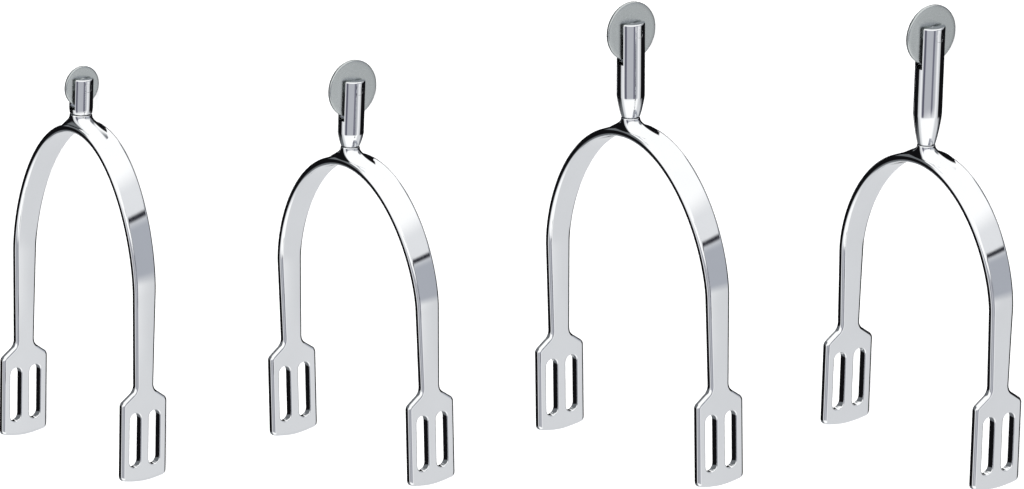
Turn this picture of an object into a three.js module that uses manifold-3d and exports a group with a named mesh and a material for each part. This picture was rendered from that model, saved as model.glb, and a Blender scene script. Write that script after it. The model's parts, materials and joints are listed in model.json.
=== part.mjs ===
// A set of four riding spurs with straight necks and smooth disc rowels.
// Millimetres, +Z up. The spurs lie flat in a slanted row, branches towards -Y, rowels towards +Y.
// Each spur is a heel band, a neck, a rowel disc and the pin that the disc turns on.

import * as THREE from 'three';
import { mergeVertices } from 'three/addons/utils/BufferGeometryUtils.js';
import Module from 'manifold-3d';

const wasm = await Module();
wasm.setup();

// Heel band: a flat strip bent to a U, its width standing up. The arch is the share of the branch that curves
const BAND_THICKNESS = 3;
const ARCH_SHARE = 0.6;
const ARCH_EXPONENT = 1.7;
const HEEL_WIDTH = 11.4;
const BRANCH_END_WIDTH = 7.8;

// Strap plate at the end of each branch
const SHOULDER_LENGTH = 4.2;
const PLATE_LENGTH = 30;
const PLATE_WIDTH = 19.8;
const PLATE_CORNER = 1.8;
const PLATE_END_BOW = 1.1;
const SHOULDER_FILLET = 2;
const SHOULDER_EASE = 1.2;
const SLOT_WIDTH = 5;
const SLOT_LENGTH = 20.4;
const SLOT_PITCH = 8.5;
const SLOT_FROM_SHOULDER = 3.9;

// Boss on the outside of the heel, and the neck that is brazed into it, a little above the band's middle
const BOSS_HEIGHT = 4;
const BOSS_SPREAD = 13;
const BOSS_DROP = 2.2;
const NECK_RISE = 2.2;
const SPIGOT_RADIUS = 1.9;
const SOCKET_DEPTH = 4.2;
const JOINT_GAP = 0.3;
const PRONG_BEVEL = 0.5;
const TAPER_BULGE = 0.6;

// Rowel disc, with a thicker hub that fills the fork, and its pin
const ROWEL_THICKNESS = 1.4;
const HUB_THICKNESS = 2.7;
const HUB_RADIUS = 2.8;
const HUB_SIDE_CLEARANCE = 0.3;
const ROWEL_END_CLEARANCE = 0.9;
const ROWEL_EDGE = 0.35;
const PIN_RADIUS = 1.5;
const PIN_RUNNING_CLEARANCE = 0.1;
const PIN_SEAT_GAP = 0.1;
const PIN_BELOW_FLUSH = 0.2;

// What differs from spur to spur: the band's inner width and branch length, the neck and the rowel.
// The neck's length is from the band's outer face to the prong ends, and its slope is downwards, in degrees.
// Then where each one lies: its heel point and its turn about +Z, in degrees.
const SPURS = [
  {
    width: 70, branch: 89.5, neck: 17.3, slope: 1, waist: 4.1, bar: 4.3, taper: 2, prong: 3,
    rowel: 7.4, x: -165.5, y: -27, turn: 0.5,
  },
  {
    width: 77, branch: 75.5, neck: 28, slope: 4, waist: 3.4, bar: 4.6, taper: 4.8, prong: 3.2,
    rowel: 10.3, x: 0, y: 0, turn: 1,
  },
  {
    width: 85, branch: 82, neck: 37.5, slope: 1, waist: 3.3, bar: 4.85, taper: 7.5, prong: 3.2,
    rowel: 10.3, x: 158, y: 47, turn: 1,
  },
  {
    width: 75.5, branch: 70.5, neck: 45.5, slope: 0, waist: 3.1, bar: 4.85, taper: 10.5, prong: 3.2,
    rowel: 10.3, x: 316, y: 74, turn: -2.5,
  },
];

// How finely round shapes are faceted
const ARCH_STEPS = 18;
const ROUND_SIDES = 24;
const DISC_SIDES = 48;
const CORNER_STEPS = 4;
const FLARE_STEPS = 8;

const CUT_MARGIN = 1;

const STEEL = { color: 0xd4d6d8, roughness: 0.12, metalness: 1 };
const SATIN_STEEL = { color: 0xa9adac, roughness: 0.4, metalness: 1 };

// ---- solids ----

function signedVolume(position, index) {
  const [a, b, c] = [new THREE.Vector3(), new THREE.Vector3(), new THREE.Vector3()];
  let six = 0;
  for (let i = 0; i < index.length; i += 3) {
    a.fromBufferAttribute(position, index[i]);
    b.fromBufferAttribute(position, index[i + 1]);
    c.fromBufferAttribute(position, index[i + 2]);
    six += a.dot(b.cross(c));
  }
  return six / 6;
}

// A closed geometry as a solid: shared vertices merged, collapsed triangles dropped, faces outwards
function solidFrom(geometry) {
  const bare = new THREE.BufferGeometry();
  bare.setAttribute('position', geometry.getAttribute('position'));
  bare.setIndex(geometry.getIndex());
  const merged = mergeVertices(bare, 1e-4);
  const source = merged.getIndex().array;
  const triangles = [];
  for (let i = 0; i < source.length; i += 3) {
    const [p, q, r] = [source[i], source[i + 1], source[i + 2]];
    if (p !== q && q !== r && r !== p) triangles.push(p, q, r);
  }
  const position = merged.getAttribute('position');
  if (signedVolume(position, triangles) < 0) triangles.reverse();
  const mesh = new wasm.Mesh({
    numProp: 3,
    vertProperties: new Float32Array(position.array),
    triVerts: new Uint32Array(triangles),
  });
  return new wasm.Manifold(mesh);
}

function geometryFrom(solid) {
  const mesh = solid.getMesh();
  const geometry = new THREE.BufferGeometry();
  geometry.setAttribute('position', new THREE.BufferAttribute(new Float32Array(mesh.vertProperties), 3));
  geometry.setIndex(new THREE.BufferAttribute(new Uint32Array(mesh.triVerts), 1));
  geometry.computeVertexNormals();
  return geometry;
}

function namedMesh(name, solid, finish) {
  const mesh = new THREE.Mesh(geometryFrom(solid), new THREE.MeshStandardMaterial(finish));
  mesh.name = name;
  return mesh;
}

// An outline drawn in the XY plane, centred on Z
function slabAlongZ(shape, depth) {
  const options = { depth, bevelEnabled: false, curveSegments: CORNER_STEPS };
  return new THREE.ExtrudeGeometry(shape, options).translate(0, 0, -depth / 2);
}

// An outline whose drawn x and y mean Y and Z, centred on X
function slabAlongX(shape, depth) {
  const toSideView = new THREE.Matrix4().makeBasis(
    new THREE.Vector3(0, 1, 0),
    new THREE.Vector3(0, 0, 1),
    new THREE.Vector3(1, 0, 0),
  );
  return slabAlongZ(shape, depth).applyMatrix4(toSideView);
}

// A turned shape about +Y from [radius, height] pairs that start and end on the axis
function turned(profile, sides) {
  return new THREE.LatheGeometry(profile.map(([radius, height]) => new THREE.Vector2(radius, height)), sides);
}

// Moves a shape from the neck's own frame (along +Y from the heel's outer face) to the spur's frame
function ontoNeckLine(spur, geometry) {
  return geometry.rotateX(-THREE.MathUtils.degToRad(spur.slope)).translate(0, BAND_THICKNESS / 2, NECK_RISE);
}

// ---- heel band ----

// Half the band's width, to the middle of its thickness
function midHalfWidth(spur) {
  return (spur.width + BAND_THICKNESS) / 2;
}

// How far from the heel the strap plate's full width begins
function plateStart(spur) {
  return spur.branch + SHOULDER_LENGTH;
}

// A point of the arch's middle line, moved outwards along its normal. Turn 0 is the heel, 1 the widest point.
function archPoint(spur, turn, outwards) {
  const angle = turn * Math.PI / 2;
  const [sin, cos] = turn === 1 ? [1, 0] : [Math.sin(angle), Math.cos(angle)];
  const halfWidth = midHalfWidth(spur);
  const depth = ARCH_SHARE * spur.branch;
  const x = halfWidth * sin;
  const y = depth * (Math.pow(cos, 2 / ARCH_EXPONENT) - 1);
  const alongX = halfWidth * Math.pow(cos, 2 - 2 / ARCH_EXPONENT);
  const alongY = -depth * (2 / ARCH_EXPONENT) * sin;
  const length = Math.hypot(alongX, alongY);
  return new THREE.Vector2(x - outwards * alongY / length, y + outwards * alongX / length);
}

// One side of the U from the heel to past the branch's end
function branchSide(spur, outwards) {
  const points = [];
  for (let step = 0; step <= ARCH_STEPS; step += 1) {
    points.push(archPoint(spur, step / ARCH_STEPS, outwards));
  }
  const end = plateStart(spur) + PLATE_LENGTH + CUT_MARGIN;
  points.push(new THREE.Vector2(midHalfWidth(spur) + outwards, -end));
  return points;
}

function mirrored(points) {
  return points.map((point) => new THREE.Vector2(-point.x, point.y));
}

// The U with its ends left long: the side outline trims them
function bandOutline(spur) {
  const outer = branchSide(spur, BAND_THICKNESS / 2);
  const inner = branchSide(spur, -BAND_THICKNESS / 2);
  return new THREE.Shape([
    ...outer,
    ...inner.slice().reverse(),
    ...mirrored(inner).slice(1),
    ...mirrored(outer).slice(1).reverse(),
  ]);
}

// The space inside the U
function insideOutline(spur) {
  const inner = branchSide(spur, -BAND_THICKNESS / 2);
  return new THREE.Shape([...inner, ...mirrored(inner).slice(1).reverse()]);
}

// The strip's side view: its taper, then the shoulder and the strap plate with a slightly bowed end
function sideOutline(spur) {
  const heel = BAND_THICKNESS + CUT_MARGIN;
  const start = plateStart(spur);
  const upper = [
    [heel, HEEL_WIDTH / 2, 0],
    [0, HEEL_WIDTH / 2, 0],
    [-spur.branch, BRANCH_END_WIDTH / 2, SHOULDER_FILLET],
    [-start, PLATE_WIDTH / 2, SHOULDER_EASE],
    [-start - PLATE_LENGTH + PLATE_END_BOW, PLATE_WIDTH / 2, PLATE_CORNER],
  ];
  const lower = upper.map(([y, z, ease]) => [y, -z, ease]).reverse();
  return easedOutline([...upper, [-start - PLATE_LENGTH, 0, PLATE_WIDTH / 4], ...lower]);
}

// A closed outline through [x, y, ease] corners, each cut short by a curve that begins and ends `ease` away
function easedOutline(corners) {
  const shape = new THREE.Shape();
  corners.forEach(([x, y, ease], place) => {
    const corner = new THREE.Vector2(x, y);
    const towards = ([nextX, nextY]) => new THREE.Vector2(nextX, nextY).sub(corner).setLength(ease).add(corner);
    const before = towards(corners.at(place - 1));
    const after = towards(corners[(place + 1) % corners.length]);
    if (place === 0) shape.moveTo(before.x, before.y);
    else shape.lineTo(before.x, before.y);
    if (ease > 0) shape.quadraticCurveTo(x, y, after.x, after.y);
  });
  return shape;
}

// A lengthwise strap slot with round ends
function slotOutline(spur, z) {
  const radius = SLOT_WIDTH / 2;
  const start = plateStart(spur) + SLOT_FROM_SHOULDER;
  const near = -start - radius;
  const far = -start - SLOT_LENGTH + radius;
  const shape = new THREE.Shape();
  shape.moveTo(near, z - radius);
  shape.absarc(near, z, radius, -Math.PI / 2, Math.PI / 2, false);
  shape.absarc(far, z, radius, Math.PI / 2, 3 * Math.PI / 2, false);
  shape.closePath();
  return shape;
}

// The trumpet-shaped rise from the strip to the waist, as wide as the strip at most
function boss(spur) {
  const foot = -BOSS_DROP - BAND_THICKNESS;
  const profile = [[0, foot], [BOSS_SPREAD, foot]];
  const rise = BOSS_HEIGHT + BOSS_DROP;
  for (let step = 0; step <= FLARE_STEPS; step += 1) {
    const angle = (step / FLARE_STEPS) * Math.PI / 2;
    const radius = BOSS_SPREAD - (BOSS_SPREAD - spur.waist) * Math.sin(angle);
    profile.push([radius, BOSS_HEIGHT - rise * Math.cos(angle)]);
  }
  profile.push([0, BOSS_HEIGHT]);
  const trumpet = solidFrom(ontoNeckLine(spur, turned(profile, ROUND_SIDES)));
  const halfWidth = Math.max(HEEL_WIDTH / 2, NECK_RISE + spur.waist);
  const strip = new THREE.BoxGeometry(4 * BOSS_SPREAD, 4 * BOSS_SPREAD, HEEL_WIDTH / 2 + halfWidth);
  strip.translate(0, 0, (halfWidth - HEEL_WIDTH / 2) / 2);
  return trumpet
    .intersect(solidFrom(strip))
    .subtract(solidFrom(slabAlongZ(insideOutline(spur), 2 * PLATE_WIDTH)));
}

function socket(spur) {
  const floor = BOSS_HEIGHT - SOCKET_DEPTH;
  const mouth = BOSS_HEIGHT + CUT_MARGIN;
  const radius = SPIGOT_RADIUS + JOINT_GAP;
  const profile = [[0, floor], [radius, floor], [radius, mouth], [0, mouth]];
  return solidFrom(ontoNeckLine(spur, turned(profile, ROUND_SIDES)));
}

function heelBand(spur) {
  const wide = 2 * (midHalfWidth(spur) + BAND_THICKNESS);
  const strip = solidFrom(slabAlongZ(bandOutline(spur), PLATE_WIDTH + 2 * CUT_MARGIN));
  let band = strip.intersect(solidFrom(slabAlongX(sideOutline(spur), wide)));
  for (const z of [-SLOT_PITCH / 2, SLOT_PITCH / 2]) {
    band = band.subtract(solidFrom(slabAlongX(slotOutline(spur, z), wide)));
  }
  return band.add(boss(spur)).subtract(socket(spur));
}

// ---- neck ----

// The pin's distance along the neck from the band's outer face
function pinAlong(spur) {
  return spur.neck - spur.prong;
}

function neck(spur) {
  const base = BOSS_HEIGHT + JOINT_GAP;
  const spigotEnd = BOSS_HEIGHT - SOCKET_DEPTH + JOINT_GAP;
  const { waist, bar, taper } = spur;
  const profile = [
    [0, spigotEnd],
    [SPIGOT_RADIUS, spigotEnd],
    [SPIGOT_RADIUS, base],
    [waist, base],
    [waist + TAPER_BULGE * (bar - waist), base + taper / 2],
    [bar, base + taper],
    [bar, spur.neck - PRONG_BEVEL],
    [bar - PRONG_BEVEL, spur.neck],
    [0, spur.neck],
  ];
  const forkFloor = pinAlong(spur) - spur.rowel - ROWEL_END_CLEARANCE;
  const forkWidth = HUB_THICKNESS + 2 * HUB_SIDE_CLEARANCE;
  const forkDepth = spur.neck + CUT_MARGIN - forkFloor;
  const fork = new THREE.BoxGeometry(forkWidth, forkDepth, 2 * bar + 2 * CUT_MARGIN);
  fork.translate(0, forkFloor + forkDepth / 2, 0);
  return solidFrom(ontoNeckLine(spur, turned(profile, ROUND_SIDES)))
    .subtract(solidFrom(ontoNeckLine(spur, fork)))
    .subtract(pinRod(spur, PIN_RADIUS + PIN_SEAT_GAP, 2 * bar + 2 * CUT_MARGIN));
}

// ---- rowel ----

// A rod along X through the pin's centre
function pinRod(spur, radius, length) {
  const rod = new THREE.CylinderGeometry(radius, radius, length, ROUND_SIDES);
  rod.rotateZ(Math.PI / 2).translate(0, pinAlong(spur), 0);
  return solidFrom(ontoNeckLine(spur, rod));
}

// A thin disc with eased rims and a hub, which turns about X. The bore's flats, not its corners, clear the pin.
function rowelDisc(spur) {
  const bore = (PIN_RADIUS + PIN_RUNNING_CLEARANCE) / Math.cos(Math.PI / ROUND_SIDES);
  const half = ROWEL_THICKNESS / 2;
  const hub = HUB_THICKNESS / 2;
  const profile = [
    [0, -hub],
    [HUB_RADIUS, -hub],
    [HUB_RADIUS, -half],
    [spur.rowel - ROWEL_EDGE, -half],
    [spur.rowel, -half + ROWEL_EDGE],
    [spur.rowel, half - ROWEL_EDGE],
    [spur.rowel - ROWEL_EDGE, half],
    [HUB_RADIUS, half],
    [HUB_RADIUS, hub],
    [0, hub],
  ];
  const disc = turned(profile, DISC_SIDES).rotateZ(Math.PI / 2).translate(0, pinAlong(spur), 0);
  return solidFrom(ontoNeckLine(spur, disc)).subtract(pinRod(spur, bore, 2 * spur.rowel));
}

// ---- set ----

// How far the spur tips about X so that its strap plates and its rowel touch the surface together
function restingTilt(spur) {
  const slope = THREE.MathUtils.degToRad(spur.slope);
  const rowelY = BAND_THICKNESS / 2 + pinAlong(spur) * Math.cos(slope);
  const rowelZ = NECK_RISE - pinAlong(spur) * Math.sin(slope);
  const rowelIsLower = rowelZ - spur.rowel < -PLATE_WIDTH / 2;
  const plateEdge = plateStart(spur) + (rowelIsLower ? PLATE_LENGTH - PLATE_END_BOW - PLATE_CORNER : 0);
  const rise = rowelZ + PLATE_WIDTH / 2;
  const run = rowelY + plateEdge;
  return Math.asin(spur.rowel / Math.hypot(rise, run)) - Math.atan2(rise, run);
}

function spurAt(spur, number) {
  const pieces = new THREE.Group();
  pieces.add(
    namedMesh(`spur_${number}_heel_band`, heelBand(spur), STEEL),
    namedMesh(`spur_${number}_neck`, neck(spur), STEEL),
    namedMesh(`spur_${number}_rowel_disc`, rowelDisc(spur), SATIN_STEEL),
    namedMesh(`spur_${number}_rowel_pin`, pinRod(spur, PIN_RADIUS, 2 * (spur.bar - PIN_BELOW_FLUSH)), STEEL),
  );
  pieces.rotation.x = restingTilt(spur);
  const placed = new THREE.Group();
  placed.add(pieces);
  placed.position.set(spur.x, spur.y, 0);
  placed.rotation.z = THREE.MathUtils.degToRad(spur.turn);
  placed.position.z = -new THREE.Box3().setFromObject(placed, true).min.z;
  return placed;
}

// The origin is under the middle of the set, on the surface it lies on
const set = new THREE.Group();
SPURS.forEach((spur, index) => set.add(spurAt(spur, index + 1)));
const box = new THREE.Box3().setFromObject(set, true);
const middle = box.getCenter(new THREE.Vector3());
set.position.set(-middle.x, -middle.y, -box.min.z);

export default set;
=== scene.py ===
"""Four riding spurs in polished steel, each with a satin disc rowel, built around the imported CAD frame.

Sizes are in millimetres in a spur's own frame: X across the heel band along the rowel's pin, Y from the
heel towards the rowel, Z up. Spur.place() turns them into metres in the shared frame.
"""

import json
import math

import bmesh
import bpy
import numpy as np
from mathutils import Matrix, Vector
from mathutils.geometry import tessellate_polygon


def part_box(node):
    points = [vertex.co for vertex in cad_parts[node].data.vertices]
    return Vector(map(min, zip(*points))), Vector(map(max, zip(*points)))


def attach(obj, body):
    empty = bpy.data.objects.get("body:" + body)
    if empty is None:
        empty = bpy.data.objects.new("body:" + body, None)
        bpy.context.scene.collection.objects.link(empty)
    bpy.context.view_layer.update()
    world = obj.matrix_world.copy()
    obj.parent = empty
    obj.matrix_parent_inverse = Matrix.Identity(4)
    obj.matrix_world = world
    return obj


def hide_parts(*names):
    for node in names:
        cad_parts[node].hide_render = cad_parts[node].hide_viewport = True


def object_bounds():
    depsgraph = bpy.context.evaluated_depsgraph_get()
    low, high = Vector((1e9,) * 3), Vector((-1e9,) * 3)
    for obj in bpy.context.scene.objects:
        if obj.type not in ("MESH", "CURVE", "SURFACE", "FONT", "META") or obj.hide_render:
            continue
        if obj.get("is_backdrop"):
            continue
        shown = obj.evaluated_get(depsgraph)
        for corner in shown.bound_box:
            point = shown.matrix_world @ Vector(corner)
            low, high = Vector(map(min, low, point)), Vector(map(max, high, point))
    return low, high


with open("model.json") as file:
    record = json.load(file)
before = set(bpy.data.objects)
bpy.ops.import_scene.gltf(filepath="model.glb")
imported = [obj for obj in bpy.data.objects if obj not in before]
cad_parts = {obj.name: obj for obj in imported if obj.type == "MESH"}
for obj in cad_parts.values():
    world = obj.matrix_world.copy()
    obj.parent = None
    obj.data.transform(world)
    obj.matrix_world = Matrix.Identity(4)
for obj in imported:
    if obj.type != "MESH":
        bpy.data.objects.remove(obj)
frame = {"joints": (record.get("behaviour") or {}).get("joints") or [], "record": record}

CAD_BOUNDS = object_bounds()
MM = 0.001

# Heel band, as in the CAD
BAND_THICKNESS = 3.0
ARCH_SHARE = 0.6
ARCH_EXPONENT = 1.7
HEEL_WIDTH = 11.4
BRANCH_END_WIDTH = 7.8
BAND_EDGE = 1.0
BAND_CROWN = 0.14
CROWN_FADE = 20.0

# Strap plate, as in the CAD
SHOULDER_LENGTH = 4.2
PLATE_LENGTH = 30.0
PLATE_WIDTH = 19.8
PLATE_CORNER = 1.9
PLATE_END_BOW = 1.1
SHOULDER_FILLET = 2.0
SHOULDER_EASE = 1.3
SLOT_WIDTH = 5.0
SLOT_LENGTH = 20.4
SLOT_PITCH = 8.5
SLOT_FROM_SHOULDER = 3.9
SLOT_EDGE = 0.35

# Boss and neck
BOSS_HEIGHT = 4.0
BOSS_SPREAD = 13.0
BOSS_HALF_WIDTH = 5.45
BOSS_SINK = 0.12
BOSS_FOOT_ANGLE = 26.0
BOSS_ROOT = 0.6
NECK_RISE = 2.2
SPIGOT_RADIUS = 1.9
SOCKET_RADIUS = 2.2
SOCKET_DEPTH = 4.2
JOINT_GAP = 0.3
WAIST_EDGE = 0.35
PRONG_BEVEL = 0.5
TAPER_BULGE = 0.6

# Rowel and pin, with the small rounding on the hub and on the pin's heads
ROWEL_THICKNESS = 1.4
HUB_THICKNESS = 2.7
HUB_RADIUS = 2.8
HUB_SIDE_CLEARANCE = 0.3
HUB_FILLET = 0.3
ROWEL_END_CLEARANCE = 0.9
ROWEL_EDGE = 0.45
PIN_RADIUS = 1.5
BORE_RADIUS = 1.6
PIN_FIT = 0.03
PIN_BELOW_SURFACE = 0.03
HUB_EDGE = 0.15
PIN_HEAD_EDGE = 0.06

# The neck's length, its downward slope in degrees, its radii at waist and bar, the taper between them, and
# how far the prongs reach past the pin
NECKS = [
    {"neck": 17.3, "slope": 1, "waist": 4.1, "bar": 4.3, "taper": 2.0, "prong": 3.0},
    {"neck": 28.0, "slope": 4, "waist": 3.4, "bar": 4.6, "taper": 4.8, "prong": 3.2},
    {"neck": 37.5, "slope": 1, "waist": 3.3, "bar": 4.85, "taper": 7.5, "prong": 3.2},
    {"neck": 45.5, "slope": 0, "waist": 3.1, "bar": 4.85, "taper": 10.5, "prong": 3.2},
]

# How finely shapes are divided. SUPPORT is a narrow flat rim that keeps the face's shading flat
STATION_STEP = 1.0
ARCH_SAMPLES = 600
ACROSS = 8
EDGE_STEPS = 5
CORNER_STEPS = 8
SLOT_END_STEPS = 16
SUPPORT = 0.2
ROUND_SIDES = 96
DISC_SIDES = 160
BOSS_RINGS = 22
FOOT_SAMPLES = 60
TAPER_STEPS = 12
LENGTHWISE_STEPS = 6
PIN_SIDES = 64
MERGE_DISTANCE = 1e-4

# Camera: its direction from the set, how it is turned, and its long lens
CAMERA_AZIMUTH = 111.36
CAMERA_ELEVATION = 35.87
CAMERA_ROLL = -0.52
CAMERA_DISTANCE = 5.0
CAMERA_TARGET = Vector((0.0013, -0.0032, 0.0003))
CAMERA_LENS = 505.3
SENSOR_WIDTH = 36.0
CAMERA_CLIP = (0.1, 100.0)


# ---- where each spur is ----


class Spur:
    """One spur's sizes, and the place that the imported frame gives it."""

    def __init__(self, number, sizes):
        self.number = number
        self.body = f"spur_{number}"
        self.rowel_body = f"rowel_{number}"
        for name, value in sizes.items():
            setattr(self, name, value)
        self.slope = math.radians(self.slope)
        self.pin_along = self.neck - self.prong
        low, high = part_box(f"spur_{number}_rowel_disc")
        self.rowel = (high.z - low.z) / 2 / MM
        mounts = {mount["name"]: mount for mount in frame["record"]["mounts"]}
        left = mounts[f"spur_{number}_left_strap_plate"]
        right = mounts[f"spur_{number}_right_strap_plate"]
        joint = next(j for j in frame["joints"] if j["name"] == f"rowel_{number}_spin")
        left_face, right_face = Vector(left["pos_m"]), Vector(right["pos_m"])
        self.half_width = (right_face - left_face).length / 2 / MM - BAND_THICKNESS / 2
        plates = (left_face + right_face) / 2
        to_pin = Vector(joint["pos_m"]) - plates
        pin_y = BAND_THICKNESS / 2 + self.pin_along * math.cos(self.slope)
        pin_z = NECK_RISE - self.pin_along * math.sin(self.slope)
        plate_middle = math.sqrt((to_pin.length / MM) ** 2 - pin_z**2) - pin_y
        self.plate_start = plate_middle - SLOT_FROM_SHOULDER - SLOT_LENGTH / 2
        self.branch = self.plate_start - SHOULDER_LENGTH
        x_axis = Vector(right["axis"]).normalized()
        self.matrix = self.frame_matrix(x_axis, plates, to_pin, plate_middle, pin_y, pin_z)
        self.measure_arch()

    def frame_matrix(self, x_axis, plates, to_pin, plate_middle, pin_y, pin_z):
        """The spur's own frame in the shared one, from its two strap plates and its pin."""
        along = to_pin.normalized()
        across = x_axis.cross(along).normalized()
        angle = math.atan2(pin_z, plate_middle + pin_y)
        y_axis = along * math.cos(angle) - across * math.sin(angle)
        z_axis = along * math.sin(angle) + across * math.cos(angle)
        origin = plates + y_axis * plate_middle * MM
        turn = Matrix((x_axis, y_axis, z_axis)).transposed().to_4x4()
        return Matrix.Translation(origin) @ turn @ Matrix.Scale(MM, 4)

    def place(self, mesh):
        mesh.transform(self.matrix)

    def arch(self, turn):
        """The arch's middle line and outward normal, from turn 0 at the heel to 1 at the straight branch."""
        sin, cos = np.sin(turn * math.pi / 2), np.cos(turn * math.pi / 2).clip(0, 1)
        depth = ARCH_SHARE * self.branch
        x = self.half_width * sin
        y = depth * (cos ** (2 / ARCH_EXPONENT) - 1)
        along_x = self.half_width * cos ** (2 - 2 / ARCH_EXPONENT)
        along_y = -depth * (2 / ARCH_EXPONENT) * sin
        length = np.hypot(along_x, along_y)
        return x, y, -along_y / length, along_x / length

    def measure_arch(self):
        self.turns = np.linspace(0, 1, ARCH_SAMPLES)
        x, y, _, _ = self.arch(self.turns)
        self.run = np.concatenate([[0], np.cumsum(np.hypot(np.diff(x), np.diff(y)))])
        self.arch_length = self.run[-1]
        self.straight_from = ARCH_SHARE * self.branch
        self.branch_length = self.arch_length + self.branch - self.straight_from

    def bend(self, along, z, outwards):
        """Points of the flat strip, measured along it from the heel, bent to the U."""
        distance = np.abs(along)
        turn = np.interp(distance, self.run, self.turns)
        x, y, normal_x, normal_y = self.arch(turn)
        beyond = np.maximum(distance - self.arch_length, 0)
        x = np.sign(along) * (x + outwards * normal_x)
        return np.stack([x, y - beyond + outwards * normal_y, z], axis=-1)

    def heel_distance(self, along):
        """How far from the heel, straight down the branch, a place on the strip is."""
        distance = np.abs(along)
        _, y, _, _ = self.arch(np.interp(distance, self.run, self.turns))
        return -y + np.maximum(distance - self.arch_length, 0)

    def on_neck_line(self, points):
        """Points of the neck's own frame, along Y from the heel's outer face, in the spur's frame."""
        points = np.asarray(points, float)
        cos, sin = math.cos(-self.slope), math.sin(-self.slope)
        x, y, z = points[..., 0], points[..., 1], points[..., 2]
        return np.stack([x, y * cos - z * sin + BAND_THICKNESS / 2, y * sin + z * cos + NECK_RISE], axis=-1)


# ---- mesh helpers ----


class Sheet:
    """Collects points and faces for one mesh."""

    def __init__(self):
        self.points = []
        self.faces = []

    def add(self, points):
        start = len(self.points)
        self.points.extend(tuple(point) for point in points)
        return list(range(start, len(self.points)))

    def join(self, ring, other):
        """Quads between two closed rings of equal length."""
        for i in range(len(ring)):
            j = (i + 1) % len(ring)
            self.faces.append((ring[i], ring[j], other[j], other[i]))

    def mesh(self, name):
        mesh = bpy.data.meshes.new(name)
        mesh.from_pydata(self.points, [], self.faces)
        body = bmesh.new()
        body.from_mesh(mesh)
        bmesh.ops.remove_doubles(body, verts=body.verts, dist=MERGE_DISTANCE)
        bmesh.ops.recalc_face_normals(body, faces=body.faces)
        body.to_mesh(mesh)
        body.free()
        return mesh


def linked(mesh):
    obj = bpy.data.objects.new(mesh.name, mesh)
    bpy.context.scene.collection.objects.link(obj)
    return obj


def cut_or_join(mesh, other, operation):
    """The exact boolean of two meshes, as a new mesh."""
    base, tool = linked(mesh), linked(other)
    step = base.modifiers.new("boolean", "BOOLEAN")
    step.operation = operation
    step.solver = "EXACT"
    step.object = tool
    bpy.context.view_layer.update()
    result = bpy.data.meshes.new_from_object(base.evaluated_get(bpy.context.evaluated_depsgraph_get()))
    bpy.data.objects.remove(base)
    bpy.data.objects.remove(tool)
    return result


def finish_piece(spur, name, mesh, finish, body, node, sharp=35):
    """Places a finished mesh as the visible piece that stands for a CAD node."""
    spur.place(mesh)
    mesh.name = name
    mesh.shade_smooth()
    mesh.set_sharp_from_angle(angle=math.radians(sharp))
    mesh.materials.clear()
    mesh.materials.append(finish)
    obj = linked(mesh)
    obj.name = name
    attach(obj, body)
    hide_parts(node)
    return obj


def turned(name, profile, sides, axis="Y"):
    """A closed turned solid about Y or X from (radius, height) pairs. Ends on the axis close to a point."""
    sheet = Sheet()
    angles = np.arange(sides) * 2 * math.pi / sides
    rings = []
    for radius, height in profile:
        if radius == 0:
            ring = sheet.add([(0, height, 0)]) * sides
        else:
            circle = [radius * np.cos(angles), np.full(sides, height), radius * np.sin(angles)]
            ring = sheet.add(np.stack(circle, 1))
        rings.append(ring)
    for lower, upper in zip(rings, rings[1:]):
        for i in range(sides):
            j = (i + 1) % sides
            corners = [lower[i], lower[j], upper[j], upper[i]]
            corners = list(dict.fromkeys(corners))
            if len(corners) > 2:
                sheet.faces.append(tuple(corners))
    if axis == "X":
        sheet.points = [(y, -x, z) for x, y, z in sheet.points]
    return sheet.mesh(name)


# ---- heel band ----


def eased(before, corner, after, ease):
    """A corner cut short by a quadratic curve that begins and ends `ease` away."""
    before, corner, after = (np.array(p, float) for p in (before, corner, after))
    start = corner + ease * (before - corner) / np.linalg.norm(before - corner)
    end = corner + ease * (after - corner) / np.linalg.norm(after - corner)
    t = np.linspace(0, 1, CORNER_STEPS + 1)[:, None]
    return (1 - t) ** 2 * start + 2 * t * (1 - t) * corner + t**2 * end


def quarter_outline(spur):
    """A quarter of the flat outline, from the heel's top to a plate's end, and the strip's last index."""
    fillet_from = spur.branch_length - SHOULDER_FILLET
    stations = np.linspace(0, fillet_from, int(fillet_from / STATION_STEP) + 1)
    share = spur.heel_distance(stations) / spur.branch
    strip = np.stack([stations, (HEEL_WIDTH + (BRANCH_END_WIDTH - HEEL_WIDTH) * share) / 2], 1)
    start = spur.branch_length + SHOULDER_LENGTH
    end = start + PLATE_LENGTH
    half = PLATE_WIDTH / 2
    corners = [
        (strip[-1], 0),
        ((spur.branch_length, BRANCH_END_WIDTH / 2), SHOULDER_FILLET),
        ((start, half), SHOULDER_EASE),
        ((end - PLATE_END_BOW, half), PLATE_CORNER),
        ((end, 0), 0),
    ]
    points = [strip]
    for (before, _), (corner, ease), (after, _) in zip(corners, corners[1:], corners[2:]):
        points.append(eased(before, corner, after, ease))
    plate = np.concatenate(points[1:])
    last = plate[-1]
    bow_along = np.linspace(1, 0, CORNER_STEPS + 1)[1:]
    bow = np.stack([end - PLATE_END_BOW * (bow_along * last[1] / half) ** 2, bow_along * last[1]], 1)
    bow[:, 0] += (last[0] - bow[0, 0]) * bow_along * 0.5
    return np.concatenate([strip, plate[1:], bow]), len(strip) - 1


def whole_outline(quarter):
    """The closed outline: top right, bottom right, bottom left, top left."""
    flip_z, flip_both, flip_along = np.array([1, -1]), np.array([-1, -1]), np.array([-1, 1])
    return np.concatenate([
        quarter,
        quarter[-2::-1] * flip_z,
        quarter[1:] * flip_both,
        quarter[-2:0:-1] * flip_along,
    ])


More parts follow.
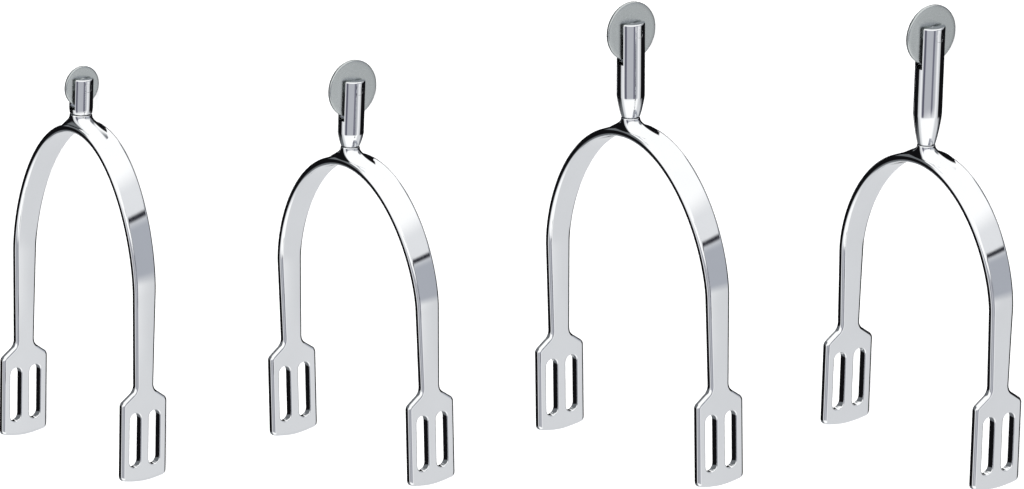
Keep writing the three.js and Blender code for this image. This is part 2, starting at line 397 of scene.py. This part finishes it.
def slot_outline(spur, side, z):
    """A lengthwise slot with round ends, walked so that the steel is on the right."""
    radius = SLOT_WIDTH / 2
    near = spur.branch_length + SHOULDER_LENGTH + SLOT_FROM_SHOULDER + radius
    far = near + SLOT_LENGTH - SLOT_WIDTH
    turn = np.linspace(-math.pi / 2, math.pi / 2, SLOT_END_STEPS + 1)
    right = np.stack([far + radius * np.cos(turn), z + radius * np.sin(turn)], 1)
    left = np.stack([near - radius * np.cos(turn), z - radius * np.sin(turn)], 1)
    loop = np.concatenate([right, left])
    return loop if side > 0 else (loop * np.array([-1, 1]))[::-1]


def inward(loop, distance):
    """A closed clockwise loop moved into the steel by a distance."""
    ahead = np.roll(loop, -1, axis=0) - loop
    ahead /= np.linalg.norm(ahead, axis=1)[:, None]
    behind = np.roll(ahead, 1, axis=0)
    normal_ahead = np.stack([ahead[:, 1], -ahead[:, 0]], 1)
    normal_behind = np.stack([behind[:, 1], -behind[:, 0]], 1)
    share = 1 + (normal_ahead * normal_behind).sum(1)
    return loop + distance * (normal_ahead + normal_behind) / share[:, None]


def edge_profile(radius):
    """(distance in from the outline, height) from the outer face round the edge to the inner face."""
    half = BAND_THICKNESS / 2
    bend = np.radians(np.linspace(0, 90, EDGE_STEPS + 1))
    upper = [(radius * (1 - math.sin(a)), half - radius * (1 - math.cos(a))) for a in bend]
    upper = [(radius + SUPPORT, half)] + upper
    return upper + [(inset, -height) for inset, height in reversed(upper)]


def smooth(value, low, high):
    t = np.clip((value - low) / (high - low), 0, 1)
    return t * t * (3 - 2 * t)


def crowned(spur, along, z, height):
    """Lowers the faces towards their edges, as buffing does. The plates stay flat."""
    share = (2 * z / HEEL_WIDTH) ** 2
    fade = 1 - smooth(np.abs(along), spur.branch_length - CROWN_FADE, spur.branch_length - SHOULDER_FILLET)
    return height - np.sign(height) * BAND_CROWN * share * fade


def strip_mesh(spur):
    """The strip with both plates and their slots, rounded on every edge and bent to the U."""
    sheet = Sheet()

    def add(flat, height):
        flat = np.asarray(flat, float)
        heights = crowned(spur, flat[:, 0], flat[:, 1], np.full(len(flat), height))
        return sheet.add(spur.bend(flat[:, 0], flat[:, 1], heights))

    quarter, last_strip = quarter_outline(spur)
    outline = whole_outline(quarter)
    slots = [slot_outline(spur, side, z) for side in (-1, 1) for z in (-SLOT_PITCH / 2, SLOT_PITCH / 2)]
    loops = [(outline, BAND_EDGE)] + [(slot, SLOT_EDGE) for slot in slots]
    face_rings = {1: [], -1: []}
    for loop, radius in loops:
        rings = []
        flats = []
        for inset, height in edge_profile(radius):
            flat = inward(loop, inset)
            flats.append(flat)
            rings.append(add(flat, height))
        for ring, other in zip(rings, rings[1:]):
            sheet.join(ring, other)
        face_rings[1].append((flats[0], rings[0]))
        face_rings[-1].append((flats[-1], rings[-1]))
    for side, found in face_rings.items():
        fill_face(sheet, add, found, side * BAND_THICKNESS / 2, len(quarter) - 1, last_strip)
    return sheet.mesh("strip")


def fill_face(sheet, add, rings, height, quarter_count, last_strip):
    """Fills a face of the flat strip: quads along the strip, triangles round the slots in the plates."""
    (outer, outer_ring), slots = rings[0], rings[1:]
    total = 4 * quarter_count
    columns = {}
    for place in range(-last_strip, last_strip + 1):
        top = place % total
        bottom = 2 * quarter_count - place
        between = [outer[top] + (outer[bottom] - outer[top]) * k / ACROSS for k in range(1, ACROSS)]
        columns[place] = ([outer_ring[top]] + add(between, height) + [outer_ring[bottom]],
                          [outer[top]] + between + [outer[bottom]])
    for place in range(-last_strip, last_strip):
        here, ahead = columns[place][0], columns[place + 1][0]
        for k in range(ACROSS):
            sheet.faces.append((here[k], ahead[k], ahead[k + 1], here[k + 1]))
    for side in (1, -1):
        indices, flats = columns[side * last_strip]
        if side > 0:
            walk = list(range(last_strip, 2 * quarter_count - last_strip + 1))
        else:
            walk = list(range(total - last_strip, 2 * quarter_count + last_strip - 1, -1))
        border = [outer_ring[i] for i in walk] + indices[-2:0:-1]
        border_flat = [outer[i] for i in walk] + flats[-2:0:-1]
        holes = [(flat, ring) for flat, ring in slots if flat[0][0] * side > 0]
        polygons = [border_flat] + [list(flat) for flat, _ in holes]
        numbers = border + [i for _, ring in holes for i in ring]
        outlines = [[Vector((p[0], p[1], 0)) for p in polygon] for polygon in polygons]
        for triangle in tessellate_polygon(outlines):
            sheet.faces.append(tuple(numbers[i] for i in triangle))


def boss_mesh(spur):
    """The trumpet-shaped rise that the neck is brazed into: an oval foot on the strip, a round waist."""
    sheet = Sheet()
    angles = np.arange(ROUND_SIDES) * 2 * math.pi / ROUND_SIDES
    # The foot follows the heel's outer face, which falls away to both sides
    reach = np.linspace(0, BOSS_SPREAD + BAND_THICKNESS, FOOT_SAMPLES)
    outer = spur.bend(reach, np.zeros_like(reach), np.full_like(reach, BAND_THICKNESS / 2))
    top = BOSS_HEIGHT - WAIST_EDGE
    foot_angle = math.radians(BOSS_FOOT_ANGLE)
    rings = []

    def ring(half_length, half_width, centre, height):
        x = half_length * np.cos(angles)
        z = centre + half_width * np.sin(angles)
        y = height(x) if callable(height) else np.full(ROUND_SIDES, height)
        rings.append(sheet.add(spur.on_neck_line(np.stack([x, y, z], 1))))

    def foot(x):
        return np.interp(np.abs(x), outer[:, 0], outer[:, 1]) - BAND_THICKNESS / 2 - BOSS_SINK

    ring(BOSS_SPREAD, BOSS_HALF_WIDTH, -NECK_RISE, lambda x: foot(x) - BAND_THICKNESS * BOSS_ROOT)
    for bend in np.linspace(foot_angle, math.pi / 2, BOSS_RINGS + 1):
        share = (math.sin(bend) - math.sin(foot_angle)) / (1 - math.sin(foot_angle))
        fall = math.cos(bend) / math.cos(foot_angle)
        ring(
            BOSS_SPREAD + (spur.waist - BOSS_SPREAD) * share,
            BOSS_HALF_WIDTH + (spur.waist - BOSS_HALF_WIDTH) * share,
            -NECK_RISE * (1 - share),
            lambda x: top - (top - foot(x)) * fall,
        )
    for bend in np.radians([30, 60, 90]):
        radius = spur.waist - WAIST_EDGE * (1 - math.cos(bend))
        ring(radius, radius, 0, top + WAIST_EDGE * math.sin(bend))
    for height in (BOSS_HEIGHT, -BAND_THICKNESS * 0.5):
        ring(SOCKET_RADIUS, SOCKET_RADIUS, 0, height)
    for lower, upper in zip(rings, rings[1:]):
        sheet.join(lower, upper)
    sheet.join(rings[-1], rings[0])
    return sheet.mesh("boss")


def heel_band(spur, finish):
    mesh = cut_or_join(strip_mesh(spur), boss_mesh(spur), "UNION")
    name = f"spur_{spur.number}_polished_heel_band"
    node = f"spur_{spur.number}_heel_band"
    return finish_piece(spur, name, mesh, finish, spur.body, node)


# ---- neck ----


def neck_profile(spur):
    base = BOSS_HEIGHT + JOINT_GAP
    spigot_end = BOSS_HEIGHT - SOCKET_DEPTH + JOINT_GAP
    waist, bar, taper = spur.waist, spur.bar, spur.taper
    profile = [(0, spigot_end), (SPIGOT_RADIUS, spigot_end), (SPIGOT_RADIUS, base)]
    edge = WAIST_EDGE
    for bend in np.radians([0, 30, 60, 90]):
        profile.append((waist - edge + edge * math.sin(bend), base + edge * (1 - math.cos(bend))))
    for t in np.arange(1, TAPER_STEPS + 1) / TAPER_STEPS:
        eased_share = t + (TAPER_BULGE - 0.5) * 4 * t * (1 - t)
        profile.append((waist + (bar - waist) * eased_share, base + edge + (taper - edge) * t))
    straight = spur.neck - PRONG_BEVEL - base - taper
    for t in np.arange(1, LENGTHWISE_STEPS + 1) / LENGTHWISE_STEPS:
        profile.append((bar, base + taper + straight * t))
    for bend in np.radians([15, 30, 45, 60, 75, 90]):
        radius = bar - PRONG_BEVEL * (1 - math.cos(bend))
        profile.append((radius, spur.neck - PRONG_BEVEL * (1 - math.sin(bend))))
    profile.append((0, spur.neck))
    return profile


def box_mesh(low, high):
    mesh = bpy.data.meshes.new("box")
    body = bmesh.new()
    bmesh.ops.create_cube(body, size=1)
    size, middle = Vector(high) - Vector(low), (Vector(high) + Vector(low)) / 2
    bmesh.ops.scale(body, vec=size, verts=body.verts)
    bmesh.ops.translate(body, vec=middle, verts=body.verts)
    body.to_mesh(mesh)
    body.free()
    return mesh


def onto_neck_line(spur, mesh):
    co = np.empty(len(mesh.vertices) * 3)
    mesh.vertices.foreach_get("co", co)
    mesh.vertices.foreach_set("co", spur.on_neck_line(co.reshape(-1, 3)).ravel())
    mesh.update()
    return mesh


def neck(spur, finish):
    mesh = turned("neck", neck_profile(spur), ROUND_SIDES)
    floor = spur.pin_along - spur.rowel - ROWEL_END_CLEARANCE
    half = HUB_THICKNESS / 2 + HUB_SIDE_CLEARANCE
    reach = 2 * spur.bar
    fork = box_mesh((-half, floor, -reach), (half, spur.neck + reach, reach))
    mesh = cut_or_join(mesh, fork, "DIFFERENCE")
    bore = PIN_RADIUS + PIN_FIT
    hole = turned("hole", [(0, -reach), (bore, -reach), (bore, reach), (0, reach)], PIN_SIDES, "X")
    hole.transform(Matrix.Translation((0, spur.pin_along, 0)))
    mesh = cut_or_join(mesh, hole, "DIFFERENCE")
    onto_neck_line(spur, mesh)
    name = f"spur_{spur.number}_polished_neck"
    node = f"spur_{spur.number}_neck"
    return finish_piece(spur, name, mesh, finish, spur.body, node, sharp=30)


# ---- rowel ----


def rowel_disc(spur, finish):
    """A thin disc with rounded rims, and a hub with a small fillet at its foot."""
    half = ROWEL_THICKNESS / 2
    hub = HUB_THICKNESS / 2
    side = [
        (BORE_RADIUS, hub - HUB_EDGE),
        (BORE_RADIUS + HUB_EDGE, hub),
        (HUB_RADIUS - HUB_EDGE, hub),
        (HUB_RADIUS, hub - HUB_EDGE),
    ]
    for a in np.radians([0, 30, 60, 90]):
        side.append((HUB_RADIUS + HUB_FILLET * (1 - math.cos(a)), half + HUB_FILLET * (1 - math.sin(a))))
    face_end = spur.rowel - ROWEL_EDGE
    face_start = HUB_RADIUS + HUB_FILLET
    across = np.arange(1, LENGTHWISE_STEPS + 1) / LENGTHWISE_STEPS
    side += [(face_start + (face_end - face_start) * t, half) for t in across]
    for a in np.radians([18, 36, 54, 72, 90]):
        side.append((face_end + ROWEL_EDGE * math.sin(a), half - ROWEL_EDGE * (1 - math.cos(a))))
    profile = side + [(radius, -height) for radius, height in reversed(side)]
    mesh = turned("disc", profile + [profile[0]], DISC_SIDES, "X")
    mesh.transform(Matrix.Translation((0, spur.pin_along, 0)))
    onto_neck_line(spur, mesh)
    name = f"spur_{spur.number}_satin_rowel_disc"
    node = f"spur_{spur.number}_rowel_disc"
    return finish_piece(spur, name, mesh, finish, spur.rowel_body, node)


def rowel_pin(spur, finish):
    """A rivet whose polished heads follow the bar's round surface."""
    surface = spur.bar - PIN_BELOW_SURFACE
    flat_edge = PIN_RADIUS - PIN_HEAD_EDGE
    radii = [0, 0.4, 0.8, 1.15, flat_edge, PIN_RADIUS]
    profile = [(radius, -1.0) for radius in radii] + [(radius, 1.0) for radius in reversed(radii)]
    mesh = turned("pin", profile, PIN_SIDES, "X")
    for vertex in mesh.vertices:
        reach = math.sqrt(surface**2 - vertex.co.z**2)
        if math.hypot(vertex.co.y, vertex.co.z) > PIN_RADIUS - PIN_HEAD_EDGE / 2:
            reach -= PIN_HEAD_EDGE
        vertex.co.x = math.copysign(reach, vertex.co.x)
    mesh.transform(Matrix.Translation((0, spur.pin_along, 0)))
    onto_neck_line(spur, mesh)
    name = f"spur_{spur.number}_rivet_pin"
    node = f"spur_{spur.number}_rowel_pin"
    return finish_piece(spur, name, mesh, finish, spur.body, node)


# ---- materials ----

NOISE_RANGE = (0.3, 0.7)
DRIFT_SCALE = 45.0
GRAIN_DEPTH = 0.00002


def add_node(tree, kind, **values):
    """A shader node. Names of inputs give their values, other names are the node's own settings."""
    node = tree.nodes.new(kind)
    for name, value in values.items():
        key = name.replace("_", " ")
        sockets = {socket.name.lower(): socket for socket in node.inputs}
        if key in sockets:
            sockets[key].default_value = value
        else:
            setattr(node, name, value)
    return node


def spread_noise(tree, noise, low, high):
    """A noise's usual range stretched to run from low to high."""
    spread = add_node(tree, "ShaderNodeMapRange")
    spread.inputs["From Min"].default_value, spread.inputs["From Max"].default_value = NOISE_RANGE
    spread.inputs["To Min"].default_value = low
    spread.inputs["To Max"].default_value = high
    tree.links.new(noise.outputs["Fac"], spread.inputs["Value"])
    return spread.outputs["Result"]


def steel(name, colour, rough, grain, grain_scale, stretch, bump, tint_spread=0.03):
    """Steel whose tint drifts a little, with fine marks whose noise is stretched along the shared axes."""
    material = bpy.data.materials.new(name)
    material.use_nodes = True
    tree = material.node_tree
    shader = tree.nodes["Principled BSDF"]
    shader.inputs["Metallic"].default_value = 1.0
    link = tree.links.new
    place = add_node(tree, "ShaderNodeTexCoord")
    # Slow drift of tint
    drift = add_node(tree, "ShaderNodeTexNoise", scale=DRIFT_SCALE, detail=3.0, roughness=0.55)
    link(place.outputs["Object"], drift.inputs["Vector"])
    shade = add_node(tree, "ShaderNodeVectorMath", operation="SCALE")
    shade.inputs[0].default_value = colour
    link(spread_noise(tree, drift, 1 - tint_spread, 1.0), shade.inputs["Scale"])
    link(shade.outputs["Vector"], shader.inputs["Base Color"])
    # Fine marks left by the polishing wheel
    squeeze = add_node(tree, "ShaderNodeMapping")
    squeeze.inputs["Scale"].default_value = stretch
    link(place.outputs["Object"], squeeze.inputs["Vector"])
    marks = add_node(tree, "ShaderNodeTexNoise", scale=grain_scale, detail=4.0, roughness=0.6)
    link(squeeze.outputs["Vector"], marks.inputs["Vector"])
    link(spread_noise(tree, marks, rough, rough + grain), shader.inputs["Roughness"])
    height = add_node(tree, "ShaderNodeBump", strength=bump, distance=GRAIN_DEPTH)
    link(marks.outputs["Fac"], height.inputs["Height"])
    link(height.outputs["Normal"], shader.inputs["Normal"])
    return material


# ---- studio ----

# The surroundings are described by direction. ALONG is the way that the necks point, FRONT faces the camera's
# side, and LEFT is up and to the camera's left.
ALONG = Vector((0, 1, 0))
FRONT = Vector((0.79, 0, 0.613)).normalized()
LEFT = Vector((-0.613, 0, 0.79)).normalized()
STUDIO_WHITE = (1.18, 1.18, 1.18)
STUDIO_BLACK = (0.006, 0.006, 0.007)
FLOOR_COLOUR = (0.93, 0.93, 0.93, 1)
FLOOR_RADIUS = 12.0
OVERHEAD_ENERGY = 2.6
OVERHEAD_SPREAD = 60.0
OVERHEAD_TILT = (12.0, 8.0, 0.0)


def around(angle):
    """The direction square to one at an angle from FRONT towards LEFT, for lengthwise strips of dark."""
    angle = math.radians(angle)
    return LEFT * math.cos(angle) - FRONT * math.sin(angle)


# Colour, then windows on the direction: (axis, low, high, softness). Later patches lie over earlier ones.
# From the first: the pale grey low side, the bar's lilac middle and its two dark stripes, the right arches'
# light zone, their darker patch with its line across and its outline, the far edges, and the dark high side.
PATCHES = [
    ((0.74, 0.75, 0.77), [(FRONT, -2, 0.36, 0.30), (ALONG, -2, -0.06, 0.10)]),
    ((0.50, 0.51, 0.55), [(FRONT, 0.50, 2, 0.30), (ALONG, -0.44, 0.20, 0.16)]),
    (
        (0.12, 0.12, 0.16),
        [(FRONT, 0.3, 2, 0.1), (around(42), -0.14, 0.14, 0.12), (ALONG, -0.42, 0.15, 0.08)],
    ),
    (
        (0.18, 0.18, 0.23),
        [(FRONT, 0.3, 2, 0.1), (around(-28), -0.12, 0.12, 0.12), (ALONG, -0.42, 0.15, 0.08)],
    ),
    ((0.86, 0.87, 0.89), [(LEFT, -2, -0.60, 0.10), (ALONG, 0.30, 0.62, 0.16)]),
    ((0.45, 0.47, 0.52), [(LEFT, -2, -0.72, 0.10), (ALONG, -0.10, 0.34, 0.12)]),
    ((0.03, 0.03, 0.04), [(LEFT, -2, -0.66, 0.10), (ALONG, 0.34, 0.38, 0.03)]),
    ((0.05, 0.05, 0.07), [(LEFT, -0.77, -0.69, 0.05), (ALONG, 0.00, 0.38, 0.10)]),
    ((0.20, 0.21, 0.23), [(LEFT, -2, -0.50, 0.10), (FRONT, -2, -0.32, 0.12), (ALONG, -0.60, 0.70, 0.10)]),
    ((0.16, 0.17, 0.18), [(LEFT, 0.25, 2, 0.20), (FRONT, -2, 0.04, 0.16), (ALONG, -0.85, 0.70, 0.10)]),
    (
        STUDIO_BLACK,
        [(FRONT, -2, 0.04, 0.16), (ALONG, -0.46, 2, 0.14), (ALONG + FRONT * 0.6, -2, -0.06, 0.12)],
    ),
]


def window(tree, value, low, high, softness):
    """1 inside the limits and 0 outside, with soft sides."""
    steps = []
    for edge in (low, high):
        step = add_node(tree, "ShaderNodeMapRange", interpolation_type="SMOOTHSTEP")
        step.inputs["From Min"].default_value = edge - softness / 2
        step.inputs["From Max"].default_value = edge + softness / 2
        tree.links.new(value, step.inputs["Value"])
        steps.append(step.outputs["Result"])
    inside = add_node(tree, "ShaderNodeMath", operation="SUBTRACT", use_clamp=True)
    tree.links.new(steps[0], inside.inputs[0])
    tree.links.new(steps[1], inside.inputs[1])
    return inside.outputs["Value"]


def surroundings():
    world = bpy.data.worlds.new("studio")
    bpy.context.scene.world = world
    world.use_nodes = True
    tree = world.node_tree
    direction = add_node(tree, "ShaderNodeTexCoord").outputs["Generated"]
    colour = None
    for patch, windows in PATCHES:
        mask = None
        for axis, low, high, softness in windows:
            part = add_node(tree, "ShaderNodeVectorMath", operation="DOT_PRODUCT")
            part.inputs[1].default_value = axis
            tree.links.new(direction, part.inputs[0])
            inside = window(tree, part.outputs["Value"], low, high, softness)
            if mask is None:
                mask = inside
            else:
                both = add_node(tree, "ShaderNodeMath", operation="MULTIPLY")
                tree.links.new(mask, both.inputs[0])
                tree.links.new(inside, both.inputs[1])
                mask = both.outputs["Value"]
        mix = add_node(tree, "ShaderNodeMix", data_type="RGBA")
        if colour is None:
            mix.inputs[6].default_value = (*STUDIO_WHITE, 1)
        else:
            tree.links.new(colour, mix.inputs[6])
        mix.inputs[7].default_value = (*patch, 1)
        tree.links.new(mask, mix.inputs[0])
        colour = mix.outputs[2]
    background = tree.nodes["Background"]
    tree.links.new(colour, background.inputs["Color"])


def floor_material():
    material = bpy.data.materials.new("pale_floor")
    material.use_nodes = True
    shader = material.node_tree.nodes["Principled BSDF"]
    shader.inputs["Base Color"].default_value = FLOOR_COLOUR
    shader.inputs["Roughness"].default_value = 0.9
    shader.inputs["Specular IOR Level"].default_value = 0.1
    return material


def stage():
    """A pale floor under soft light. The steel doesn't reflect it, but the surroundings instead."""
    mesh = bpy.data.meshes.new("floor")
    body = bmesh.new()
    bmesh.ops.create_circle(body, cap_ends=True, segments=96, radius=FLOOR_RADIUS)
    body.to_mesh(mesh)
    body.free()
    mesh.materials.append(floor_material())
    floor = linked(mesh)
    floor.visible_glossy = False
    floor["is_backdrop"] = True
    data = bpy.data.lights.new("overhead", "SUN")
    data.energy = OVERHEAD_ENERGY
    data.use_shadow = False
    data.angle = math.radians(OVERHEAD_SPREAD)
    overhead = bpy.data.objects.new("overhead", data)
    overhead.rotation_euler = [math.radians(angle) for angle in OVERHEAD_TILT]
    overhead.visible_glossy = False
    bpy.context.scene.collection.objects.link(overhead)


def camera():
    data = bpy.data.cameras.new("camera")
    data.lens = CAMERA_LENS
    data.sensor_width = SENSOR_WIDTH
    data.clip_start, data.clip_end = CAMERA_CLIP
    azimuth, elevation = math.radians(CAMERA_AZIMUTH), math.radians(CAMERA_ELEVATION)
    level = Vector((math.sin(azimuth), -math.cos(azimuth), 0))
    back = level * math.cos(elevation) + Vector((0, 0, math.sin(elevation)))
    right = ALONG.cross(back).normalized()
    up = back.cross(right)
    roll = Matrix.Rotation(math.radians(CAMERA_ROLL), 4, "Z")
    turn = Matrix((right, up, back)).transposed().to_4x4() @ roll
    obj = bpy.data.objects.new("camera", data)
    obj.matrix_world = Matrix.Translation(CAMERA_TARGET + back * CAMERA_DISTANCE) @ turn
    bpy.context.scene.collection.objects.link(obj)
    bpy.context.scene.camera = obj


# ---- the set ----


def build():
    polished = steel(
        "polished_steel", (0.86, 0.87, 0.88), rough=0.035, grain=0.03, grain_scale=900,
        stretch=(1, 0.12, 1), bump=0.05,
    )
    satin = steel(
        "satin_steel", (0.56, 0.59, 0.585), rough=0.25, grain=0.08, grain_scale=1400,
        stretch=(0.2, 1, 1), bump=0.35, tint_spread=0.08,
    )
    pin = steel(
        "pin_steel", (0.84, 0.85, 0.86), rough=0.06, grain=0.04, grain_scale=900,
        stretch=(1, 1, 1), bump=0.05,
    )
    for number, sizes in enumerate(NECKS, 1):
        spur = Spur(number, sizes)
        heel_band(spur, polished)
        neck(spur, polished)
        rowel_disc(spur, satin)
        rowel_pin(spur, pin)


camera()
surroundings()
stage()
build()
bpy.context.scene.view_settings.view_transform = "Standard"

VISUAL_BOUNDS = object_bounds()
sizes = {"cad": CAD_BOUNDS, "visual": VISUAL_BOUNDS}
{key: [list(corner) for corner in box] for key, box in sizes.items()}
